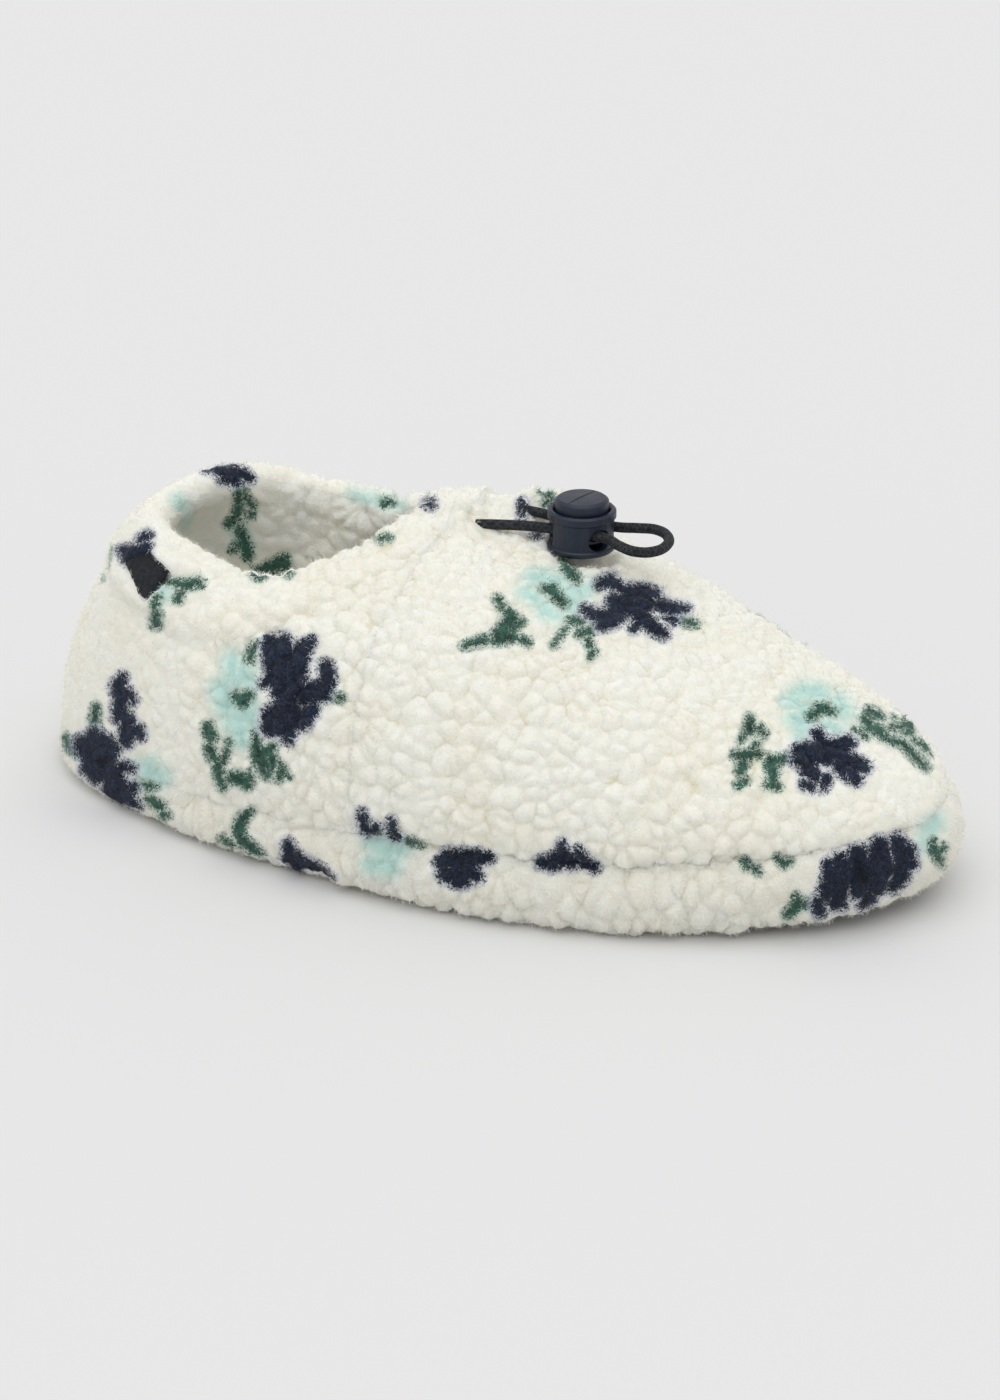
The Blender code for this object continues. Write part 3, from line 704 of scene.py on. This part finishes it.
dyeChannel = {"navy": 0, "green": 1, "mint": 2, "eye": 3}
brushEdge = {"navy": 14, "green": 13, "mint": 24, "eye": 10}  # pixels over which a dye fades out
brushGrow = {"navy": 2.3, "green": 1.5, "mint": 2, "eye": 0}
pixelsPerMetre = 3710  # of the photo, at the slipper
seenFacing = (0.22, 0.36)  # charted print gives way to print laid in space as the pile turns away


def cadTree(*nodes):
    spots, faces = [], []
    for node in nodes:
        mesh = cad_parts[node].data
        faces += [tuple(len(spots) + k for k in face.vertices) for face in mesh.polygons]
        spots += [v.co.copy() for v in mesh.vertices]
    return BVHTree.FromPolygons(spots, faces)


shoeTree = cadTree("upper", "midsole")


def toPhoto(spots):  # where points fall in the photo
    wide, high = shot["photo"]
    focal = shot["lens"] / 36 * high
    local = (spots - np.array(camSpot)) @ np.array(camTurn.to_matrix())
    across = wide / 2 - focal * local[:, 0] / local[:, 2]
    down = high / 2 + focal * local[:, 1] / local[:, 2]
    return np.stack([across, down], 1)


def brush(levels, points, dye, stroke, edge):  # lays one stroke on the points under it
    joints = list(zip(stroke, stroke[1:])) or [(stroke[0], stroke[0])]
    for first, last in joints:
        start, end = np.array(first[:-1]), np.array(last[:-1])
        reach = max(first[-1], last[-1]) + edge
        low, high = np.minimum(start, end) - reach, np.maximum(start, end) + reach
        near = np.nonzero(((points > low) & (points < high)).all(1))[0]
        if not len(near):
            continue
        run = end - start
        share = np.clip((points[near] - start) @ run / max(run @ run, 1e-12), 0, 1)
        gap = np.linalg.norm(points[near] - start - share[:, None] * run, axis=1)
        size = first[-1] + share * (last[-1] - first[-1])
        level = np.clip(0.5 + (size - gap) / edge, 0, 1)
        channel = dyeChannel[dye]
        levels[near, channel] = np.maximum(levels[near, channel], level)


def smoothShare(values, low, high):
    share = np.clip((values - low) / (high - low), 0, 1)
    return share * share * (3 - 2 * share)


def seenFromCamera(spots, ways):  # 1 for points that face the camera with nothing in front
    seen = smoothShare(ways @ np.array(camBack), *seenFacing)
    for k in np.nonzero(seen)[0]:
        here = Vector(spots[k]) + Vector(ways[k]) * 0.0025
        back = (camSpot - here).normalized()
        if shoeTree.ray_cast(here + back * 0.001, back)[0] is not None:
            seen[k] = 0
    return seen[:, None]


def onShoe(stroke):  # a charted stroke as points in space, its brush in metres
    path = []
    for x, y, size in stroke:
        hit = shoeTree.ray_cast(camSpot, photoRay(x, y))[0]
        if hit is not None:
            path.append((*hit, size / pixelsPerMetre))
    return path


def placedStroke(stroke, middle, place, toward, turn, size):  # a charted stroke moved to another side
    face = Vector(toward).normalized()
    right = Vector((0, 0, 1)).cross(face).normalized()
    up = face.cross(right)
    spin = Matrix.Rotation(math.radians(turn), 3, face)
    path = []
    for x, y, width in stroke:
        step = right * (x - middle[0]) - up * (y - middle[1])
        spot = Vector(place) + spin @ step * size / pixelsPerMetre
        spot = shoeTree.find_nearest(spot)[0]
        path.append((*spot, width * size / pixelsPerMetre))
    return path


def printLevels(spots, ways, raised, charts, hidden):
    levels, around = np.zeros((len(spots), 4)), np.zeros((len(spots), 4))
    seen = seenFromCamera(spots, ways)
    flat = np.where(seen > 0, toPhoto(raised), -1e4)
    unseen = np.where(seen < 1, spots, 1e3)
    for chart in charts:
        for dye, stroke in printChart[chart]:
            stroke = [(x, y, size + brushGrow[dye]) for x, y, size in stroke]
            brush(levels, flat, dye, stroke, brushEdge[dye])
            path = onShoe(stroke)
            if path:
                brush(around, unseen, dye, path, brushEdge[dye] / pixelsPerMetre)
    if hidden:
        for chart, *placing in hiddenPrint:
            for dye, stroke in printChart[chart]:
                path = placedStroke(stroke, *placing)
                brush(around, unseen, dye, path, brushEdge[dye] / pixelsPerMetre)
    return seen * levels + (1 - seen) * around


# pile fleece
pileCloth = {
    "voxel": 0.00062,
    "tuft": 0.0046,  # size of one tuft
    "seed": 5,  # without one, noise_vector follows the clock
    "height": 0.0026,
    "puff": 0.0005,
    "crease": (0.46, 0.50),  # width and depth of the creases between tufts
    "dome": 0.50,  # how far a tuft falls off to its sides
    "bandStretch": 0.75,  # tufts on the band stand taller than wide
    "heelFlat": (-0.098, -0.045),  # the pile lies flatter behind this and at the toe's end
    "toeFlat": (0.085, 0.125),
    "flat": (0.35, 0.55),  # how much relief is left there
    "seamReach": 0.0090,  # how far the seam's hollow is filled in
    "seamSteps": 200,
    "seamWave": 0.0017,
}


def softCopy(name, voxel, *nodes):  # CAD forms rounded off, grown together and evenly meshed
    bm = bmesh.new()
    for node in nodes:
        one = cadCopy(node)
        bmesh.ops.join_triangles(
            one, faces=one.faces, angle_face_threshold=math.pi, angle_shape_threshold=math.pi
        )
        mesh = bpy.data.meshes.new(node)
        one.to_mesh(mesh)
        one.free()
        bm.from_mesh(mesh)
        bpy.data.meshes.remove(mesh)
    obj = newObject(name, bm)
    soft = obj.modifiers.new("soft", "SUBSURF")
    soft.levels = soft.render_levels = 2
    even = obj.modifiers.new("even", "REMESH")
    even.mode = "VOXEL"
    even.voxel_size = voxel
    applyAll(obj)
    return obj


def readMesh(mesh):
    spots = np.empty(len(mesh.vertices) * 3, np.float32)
    mesh.vertices.foreach_get("co", spots)
    ways = np.empty(len(mesh.vertices) * 3, np.float32)
    mesh.vertex_normals.foreach_get("vector", ways)
    return spots.reshape(-1, 3).astype(float), ways.reshape(-1, 3).astype(float)


def tuftPattern(spots, tuft):  # 0 deep in a crevice, 1 on top of a tuft, and a slow swell
    noise.seed_set(pileCloth["seed"])
    tufts = np.empty(len(spots))
    swell = np.empty(len(spots))
    creaseWide, creaseDeep = pileCloth["crease"]
    for k, (x, y, z) in enumerate(spots):
        z = min(z, 0.025) * pileCloth["bandStretch"] + max(z - 0.025, 0)
        p = Vector((x, y, z))
        bent = p + noise.noise_vector(p * 110) * tuft * 0.45
        gaps, _ = noise.voronoi(bent / tuft)
        near = -math.log(sum(math.exp(-14 * g) for g in gaps)) / 14
        crease = min((gaps[1] - gaps[0]) / creaseWide, 1)
        crease = 0.5 * math.sqrt(1 - (1 - crease) ** 2) + 0.5 * crease * crease * (3 - 2 * crease)
        depth = 0.6 + 0.4 * noise.noise(p * 190)
        dome = 1 - pileCloth["dome"] * math.tanh(near * near / 0.56)
        tufts[k] = dome - creaseDeep * depth * (1 - crease) + 0.03 * noise.noise(p * 900)
        swell[k] = noise.noise(p * 45)
    return tufts, swell


def setAttributes(mesh, levels, pile):
    layer = mesh.attributes.new("print", "FLOAT_COLOR", "POINT")
    layer.data.foreach_set("color", levels.astype(np.float32).ravel())
    layer = mesh.attributes.new("pile", "FLOAT", "POINT")
    layer.data.foreach_set("value", pile.astype(np.float32))


def reliefAt(spots):  # worn-in heel and toe lie flatter
    heel, toe = pileCloth["flat"]
    atHeel = 1 - smoothShare(spots[:, 0], *pileCloth["heelFlat"])
    atToe = smoothShare(spots[:, 0], *pileCloth["toeFlat"])
    return (1 - (1 - heel) * atHeel) * (1 - (1 - toe) * atToe)


def raisePile(obj, height, charts, hidden, extra=None):
    spots, ways = readMesh(obj.data)
    tufts, swell = tuftPattern(spots, pileCloth["tuft"])
    relief = reliefAt(spots)
    up = height * (0.6 + (tufts - 0.6) * relief) + pileCloth["puff"] * swell
    lift = 0
    if extra is not None:
        up, lift = extra(spots, ways, up)
    moved = spots + ways * up[:, None]
    moved[:, 2] += lift
    moved[:, 2] = np.maximum(moved[:, 2], 0.0004)
    obj.data.vertices.foreach_set("co", moved.astype(np.float32).ravel())
    levels = printLevels(spots, ways, moved, charts, hidden)
    pile = 1 - (1 - np.clip((tufts - 0.10) / 0.5, 0, 1)) * relief
    setAttributes(obj.data, levels, pile)
    obj.data.update()
    return spots, ways


def keepFaces(obj, name, keep):  # a piece made of some faces of a mesh
    bm = bmesh.new()
    bm.from_mesh(obj.data)
    bm.faces.ensure_lookup_table()
    bmesh.ops.delete(bm, geom=[f for f in bm.faces if not keep[f.index]], context="FACES")
    piece = newObject(name, bm)
    shadeSmooth(piece)
    return piece


def dress(obj, material, slot, *nodes):
    obj.data.materials.clear()
    obj.data.materials.append(material)
    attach(obj, "slipper")
    if nodes:
        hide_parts(*nodes)


def countFaces(obj):
    return sum(len(face.vertices) - 2 for face in obj.data.polygons)


def thin(obj, share):  # fewer faces where little shows
    fewer = obj.modifiers.new("fewer", "DECIMATE")
    fewer.ratio = share
    applyAll(obj)
    shadeSmooth(obj)


upperTree, bandTree = cadTree("upper"), cadTree("midsole")
coverTree = cadTree("upper", "midsole", "outsole", "insole")
labelTree = cadTree("label_tab")
labelShows = ((130, 564), (151, 554), (174, 577), (147, 601))  # its bare part in the photo
throatSwells = (  # place, height and width of the pile that closes over the cord's ends and behind the lock
    ((-0.0090, 0.0092), 0.0044, 0.0056),
    ((-0.0050, 0.0092), 0.0021, 0.0036),
    ((-0.0070, 0.0066), 0.0026, 0.0050),
    ((-0.0090, 0.0272), 0.0036, 0.0046),
    ((-0.0030, 0.0275), 0.0050, 0.0050),
    ((-0.0004, 0.0272), 0.0060, 0.0044),
    ((0.0025, 0.0270), 0.0056, 0.0044),
    ((0.0020, 0.0330), 0.0066, 0.0056),
    ((0.0085, 0.0325), 0.0074, 0.0054),
)
lockPress = {"edge": (-0.0015, 0.0013), "depth": 0.0008}  # how the lock sinks into the pile round its rim


def gapsTo(tree, spots, which):
    gaps = np.full(len(spots), 1.0)
    for k in np.nonzero(which)[0]:
        gaps[k] = tree.find_nearest(Vector(spots[k]))[3]
    return gaps


def fillSeam(obj):  # eases the hollow between upper and band, most of all round the heel, and lets it wander
    mesh = obj.data
    spots, _ = readMesh(mesh)
    low = spots[:, 2] < 0.045
    toUpper, toBand = gapsTo(upperTree, spots, low), gapsTo(bandTree, spots, low)
    away = np.maximum(toUpper, toBand) / pileCloth["seamReach"]
    ease = np.clip(1.6 - 1.6 * away, 0, 1) * (1 - 0.8 * smoothShare(spots[:, 0], -0.055, 0.020))
    ends = np.empty(len(mesh.edges) * 2, np.int32)
    mesh.edges.foreach_get("vertices", ends)
    ends = ends.reshape(-1, 2)
    used, local = np.unique(ends[(ease[ends] > 0).any(1)], return_inverse=True)
    one, two = local.reshape(-1, 2).T
    part, ease = spots[used].T.copy(), ease[used]
    count = np.bincount(one, minlength=len(used)) + np.bincount(two, minlength=len(used))
    for _ in range(pileCloth["seamSteps"]):
        for axis, line in enumerate(part):
            near = np.bincount(one, line[two], len(used)) + np.bincount(two, line[one], len(used))
            part[axis] = line + 0.6 * ease * (near / count - line)
    wander = pileCloth["seamWave"] * np.clip(1 - away[used], 0, 1)
    part[2] += wander * np.array([noise.noise(Vector(p) * 105) for p in spots[used]])
    spots[used] = part.T
    mesh.vertices.foreach_set("co", spots.astype(np.float32).ravel())
    mesh.update()
    return toBand < toUpper


def outsideOf(corners, flat):  # pixels from a convex shape in the photo, below 0 within it
    gap = np.full(len(flat), -1e4)
    for (x0, y0), (x1, y1) in zip(corners, corners[1:] + corners[:1]):
        side = (flat[:, 0] - x0) * (y0 - y1) + (flat[:, 1] - y0) * (x1 - x0)
        gap = np.maximum(gap, -side / math.hypot(x1 - x0, y1 - y0))
    return gap


def shapePile(spots, ways, up):  # pile pressed under label and lock, and closing over what goes into it
    beside = 1 - smoothShare(gapsTo(labelTree, spots, spots[:, 0] < -0.06), 0.0006, 0.0030)
    pressed = beside * (1 - smoothShare(outsideOf(labelShows, toPhoto(spots)), -2, 5))
    up = up * (1 - 0.9 * pressed) - 0.0003 * pressed + 0.0008 * (beside - pressed)
    toLock = np.linalg.norm(spots[:, :2] - np.array(lockFoot)[:2], axis=1) - lockRadius
    under = (1 - smoothShare(toLock, *lockPress["edge"])) * (spots[:, 2] > 0.06)
    up = up * (1 - under) - lockPress["depth"] * under  # leaves room for the button's stroke
    swell = np.zeros(len(spots))
    for middle, height, width in throatSwells:
        gap = np.linalg.norm(spots[:, :2] - np.array(middle), axis=1)
        swell = np.maximum(swell, height * np.exp(-((gap / width) ** 2)))
    return up, swell * (1 - under) * smoothShare(ways[:, 2], 0, 0.4) * (spots[:, 2] > 0.07)


shellCut = {
    "axis": (-0.105, 0.110, 0.032),  # heel end, toe end and level of a line inside the shoe
    "front": -0.010,  # front and back of the upper part here
    "lining": 0.4,  # share of the lining's faces kept
    "sideways": 0.15,  # band faces that look outward more than this always stay
    "nearUpper": 0.005,  # and so do those this close to the upper
    "cover": 0.030,
}


def makeShell():
    shell = softCopy("fleece_shell", pileCloth["voxel"], "upper", "midsole")
    isBand = fillSeam(shell)
    spots, ways = raisePile(shell, pileCloth["height"], tuple(printChart), True, shapePile)
    mesh = shell.data
    heelEnd, toeEnd, level = shellCut["axis"]
    arm = spots - np.array((0, 0, level))
    arm[:, 0] -= np.clip(spots[:, 0], heelEnd, toeEnd)
    outside = (arm * ways).sum(1) > 0
    covered = np.zeros(len(spots), bool)
    sideways = (arm[:, :2] * ways[:, :2]).sum(1) / np.linalg.norm(arm[:, :2], axis=1)
    for k in np.nonzero(isBand & (sideways < shellCut["sideways"]))[0]:
        here, way = Vector(spots[k]), Vector(ways[k])
        if upperTree.find_nearest(here)[3] > shellCut["nearUpper"]:
            covered[k] = coverTree.ray_cast(here + way * 0.0015, way, shellCut["cover"])[0] is not None
    corner = np.empty(len(mesh.loops), np.int32)
    mesh.loops.foreach_get("vertex_index", corner)
    corner = corner.reshape(-1, 4)
    first = corner[:, 0]
    band, out, front = isBand[first], outside[first], spots[first, 0] > shellCut["front"]
    pieces = (  # name, faces, share of them kept, cloth and node
        ("upper_front", ~band & out & front, 1, fleece, "upper"),
        ("upper_back", ~band & out & ~front, 1, fleece, "upper"),
        ("upper_lining", ~band & ~out, shellCut["lining"], fleeceLining, "upper"),
        ("sole_band", band & ~covered[corner].all(1), 1, fleeceBand, "midsole"),
    )
    made = {}
    for name, keep, share, cloth, node in pieces:
        piece = keepFaces(shell, name, keep)
        if share < 1:
            thin(piece, share)
        dress(piece, cloth, node, node)
        print(name, countFaces(piece), "triangles")
        made[name] = piece
    bpy.data.objects.remove(shell)
    return made


shell = makeShell()

# footbed
insole = {"voxel": 0.0013, "height": 0.0016, "fill": 0.7}


def makeInsole():
    pad = softCopy("insole_pile", insole["voxel"], "insole")
    raisePile(pad, insole["height"], (), False)
    shadeSmooth(pad)
    dress(pad, fleeceLining, "insole", "insole")
    print("insole", countFaces(pad), "triangles")


makeInsole()

# loose fibres over the pile
fibreLook = {
    "length": 0.0018,
    "width": 0.00012,
    "lean": (25, 76),  # degrees from upright
    "perSquareMetre": 1.9e6,
    "stray": 0.42,
}


def makeFibre():  # one curved hair of three faces
    bm = bmesh.new()
    half, tall = fibreLook["width"] / 2, fibreLook["length"]
    foot = [bm.verts.new((x, 0, -0.1 * tall)) for x in (-half, half)]
    middle = [bm.verts.new((x, 0.04 * tall, 0.5 * tall)) for x in (-0.8 * half, 0.8 * half)]
    tip = bm.verts.new((0, 0.20 * tall, 0.97 * tall))
    bm.faces.new((foot[0], foot[1], middle[1], middle[0]))
    bm.faces.new((middle[0], middle[1], tip))
    return newObject("fibre", bm)


def fibreTree(hair):
    tree = bpy.data.node_groups.new("fibres", "GeometryNodeTree")
    tree.interface.new_socket("Geometry", in_out="INPUT", socket_type="NodeSocketGeometry")
    tree.interface.new_socket("Geometry", in_out="OUTPUT", socket_type="NodeSocketGeometry")
    nodes, links = tree.nodes, tree.links
    given, put = nodes.new("NodeGroupInput"), nodes.new("NodeGroupOutput")
    scatter = nodes.new("GeometryNodeDistributePointsOnFaces")
    pile = nodes.new("GeometryNodeInputNamedAttribute")
    pile.inputs["Name"].default_value = "pile"
    thick = nodes.new("ShaderNodeMath")
    thick.operation = "MULTIPLY"
    thick.inputs[1].default_value = fibreLook["perSquareMetre"]
    links.new(pile.outputs["Attribute"], thick.inputs[0])
    links.new(thick.outputs["Value"], scatter.inputs["Density"])
    scatter.inputs["Seed"].default_value = 4
    stray = nodes.new("FunctionNodeRandomValue")  # each hair takes the dye a little sooner or later
    stray.inputs[2].default_value = -fibreLook["stray"]
    stray.inputs[3].default_value = fibreLook["stray"]
    stray.inputs["Seed"].default_value = 2
    mark = nodes.new("GeometryNodeStoreNamedAttribute")
    mark.inputs["Name"].default_value = "stray"
    links.new(scatter.outputs["Points"], mark.inputs["Geometry"])
    links.new(stray.outputs[1], mark.inputs["Value"])
    shape = nodes.new("GeometryNodeObjectInfo")
    shape.inputs["Object"].default_value = hair
    lean = nodes.new("FunctionNodeRandomValue")
    lean.data_type = "FLOAT_VECTOR"
    least, most = (math.radians(d) for d in fibreLook["lean"])
    lean.inputs["Min"].default_value = (-most, -0.3, 0)
    lean.inputs["Max"].default_value = (-least, 0.3, 2 * math.pi)
    turn = nodes.new("FunctionNodeEulerToRotation")
    links.new(lean.outputs["Value"], turn.inputs["Euler"])
    aim = nodes.new("FunctionNodeRotateRotation")
    aim.rotation_space = "LOCAL"
    links.new(scatter.outputs["Rotation"], aim.inputs["Rotation"])
    links.new(turn.outputs["Rotation"], aim.inputs["Rotate By"])
    size = nodes.new("FunctionNodeRandomValue")
    size.inputs[2].default_value = 0.55
    size.inputs[3].default_value = 1.15
    size.inputs["Seed"].default_value = 9
    plant = nodes.new("GeometryNodeInstanceOnPoints")
    links.new(mark.outputs["Geometry"], plant.inputs["Points"])
    links.new(shape.outputs["Geometry"], plant.inputs["Instance"])
    links.new(aim.outputs["Rotation"], plant.inputs["Rotation"])
    links.new(size.outputs[1], plant.inputs["Scale"])
    solid = nodes.new("GeometryNodeRealizeInstances")
    links.new(given.outputs["Geometry"], scatter.inputs["Mesh"])
    links.new(plant.outputs["Instances"], solid.inputs["Geometry"])
    place, axes, joined = (nodes.new(k) for k in (
        "GeometryNodeInputPosition", "ShaderNodeSeparateXYZ", "ShaderNodeCombineXYZ"))
    links.new(place.outputs["Position"], axes.inputs["Vector"])
    lift = nodes.new("ShaderNodeMath")  # no hair goes into the floor
    lift.operation = "MAXIMUM"
    lift.inputs[1].default_value = 0.0003
    links.new(axes.outputs["Z"], lift.inputs[0])
    links.new(axes.outputs["X"], joined.inputs["X"])
    links.new(axes.outputs["Y"], joined.inputs["Y"])
    links.new(lift.outputs["Value"], joined.inputs["Z"])
    settle = nodes.new("GeometryNodeSetPosition")
    links.new(solid.outputs["Geometry"], settle.inputs["Geometry"])
    links.new(joined.outputs["Vector"], settle.inputs["Position"])
    links.new(settle.outputs["Geometry"], put.inputs["Geometry"])
    return tree


def addFibres(names):
    hair = makeFibre()
    tree = fibreTree(hair)
    for name, slot in names:
        coat = bpy.data.objects.new(name + "_fibres", shell[name].data.copy())
        bpy.context.scene.collection.objects.link(coat)
        grow = coat.modifiers.new("fibres", "NODES")
        grow.node_group = tree
        applyAll(coat)
        shadeSmooth(coat)
        dress(coat, fleeceFibre, slot)
        print(coat.name, countFaces(coat), "triangles")
    bpy.data.objects.remove(hair)


addFibres((("upper_front", "upper"), ("upper_back", "upper"), ("sole_band", "midsole")))

# stage and light
light = {"floor": lin(222, 222, 222), "sky": 0.76, "key": 1.1, "tilt": (14, 4), "spread": 70}
bm = bmesh.new()
bmesh.ops.create_grid(bm, x_segments=1, y_segments=1, size=6)
floor = newObject("floor", bm)
mat, nodes, links = newMaterial("floor")
nodes["Principled BSDF"].inputs["Base Color"].default_value = (*light["floor"], 1)
nodes["Principled BSDF"].inputs["Roughness"].default_value = 0.9
nodes["Principled BSDF"].inputs["Specular IOR Level"].default_value = 0.1
floor.data.materials.append(mat)
world = bpy.data.worlds.new("studio")
world.use_nodes = True
world.node_tree.nodes["Background"].inputs["Color"].default_value = (1, 1, 1, 1)
world.node_tree.nodes["Background"].inputs["Strength"].default_value = light["sky"]
bpy.context.scene.world = world
sun = bpy.data.objects.new("key", bpy.data.lights.new("key", "SUN"))
sun.data.energy = light["key"]
sun.data.angle = math.radians(light["spread"])
sun.rotation_euler = Euler((*(math.radians(turn) for turn in light["tilt"]), 0))
bpy.context.scene.collection.objects.link(sun)
bpy.context.scene.view_settings.view_transform = "Standard"
print("stage and light set")
